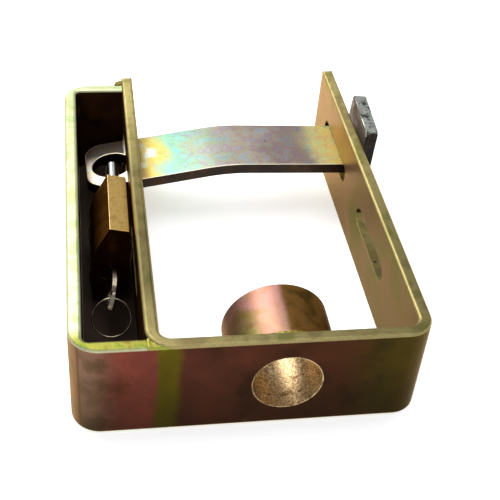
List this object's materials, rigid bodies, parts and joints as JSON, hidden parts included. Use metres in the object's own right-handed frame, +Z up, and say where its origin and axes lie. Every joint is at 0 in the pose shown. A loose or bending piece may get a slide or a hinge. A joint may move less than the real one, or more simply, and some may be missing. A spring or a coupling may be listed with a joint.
{
  "type": "trailer coupler lock",
  "caption": "Steel yoke lock for a trailer ball coupler: slotted arms, socket blank, sliding cross bar and a padlock in a guard channel.",
  "frame": {"origin": "middle of the underside of the whole lock as it lies flat on its long edges", "axes": "+Z up, across the flat bar's width; +Y from the base to the open ends of the arms; +X from the padlock guard to the cross bar's head"},
  "size_m": [0.1646, 0.216, 0.0545],
  "materials": {
    "zinc_yoke": "yellow zinc passivate, satin, plum and olive tints",
    "zinc_guard": "yellow zinc passivate, satin, pale yellow-green edges",
    "zinc_blank": "yellow zinc passivate, gold with fine speckle",
    "zinc_bead": "ground weld under yellow zinc passivate",
    "zinc_bar": "iridescent zinc passivate, yellow to cyan and violet",
    "zinc_head": "bright zinc, rough cut edge",
    "chrome": "polished",
    "brass_body": "satin machined brass",
    "brass_inner": "machined brass",
    "steel_inner": "plain steel",
    "nickel_key": "nickel plated, worn"
  },
  "bodies": {
    "frame": {"yoke": "zinc_yoke", "padlock_guard": "zinc_guard", "ball_blank": "zinc_blank", "blank_weld": "zinc_bead", "front_seam_weld": "zinc_bead", "rear_seam_weld": "zinc_bead"},
    "bar": {"cross_bar": "zinc_bar", "bar_head": "zinc_head", "head_weld": "zinc_head"},
    "shackle": {"shackle": "chrome"},
    "padlock": {"padlock_body": "brass_body", "chamber_plugs": "brass_body", "driver_pins": "brass_inner", "pin_springs": "steel_inner", "shackle_spring": "steel_inner", "heel_pin": "steel_inner", "plug_pin": "steel_inner", "latch_spring": "steel_inner"},
    "latch": {"latch": "brass_inner"},
    "plug": {"plug": "brass_inner", "plug_cam": "steel_inner", "key_pins": "brass_inner", "key": "nickel_key"},
    "ring": {"split_ring": "nickel_key"}
  },
  "joints": [
    {"name": "bar_slide", "type": "slide", "parent": "frame", "child": "bar", "axis": [0.9994, 0.0349, 0], "range_m": [-0.0003, 0.0004]},
    {"name": "padlock_play", "type": "slide", "parent": "frame", "child": "shackle", "axis": [0.0087, 1, 0], "range_m": [0, 0.008]},
    {"name": "shackle_release", "type": "slide", "parent": "shackle", "child": "padlock", "axis": [-0.0087, -1, 0], "range_m": [0, 0.012], "deforming": ["shackle_spring"]},
    {"name": "plug_turn", "type": "hinge", "parent": "padlock", "child": "plug", "pos_m": [-0.06298, -0.0264, 0.02114], "axis": [0.0087, 1, 0], "range_deg": [0, 30]},
    {"name": "latch_slide", "type": "slide", "parent": "padlock", "child": "latch", "axis": [-0.2079, 0.0018, -0.9781], "range_m": [0, 0.00249], "deforming": ["latch_spring"]},
    {"name": "ring_swing", "type": "hinge", "parent": "plug", "child": "ring", "pos_m": [-0.06316, -0.0469, 0.02114], "axis": [1, -0.0087, 0], "range_deg": [-45, 3]}
  ],
  "couplings": [
    {"joint": "plug_turn", "follows": "shackle_release", "rad_per_m": 43.633},
    {"joint": "latch_slide", "follows": "shackle_release", "ratio": 0.2071}
  ]
}
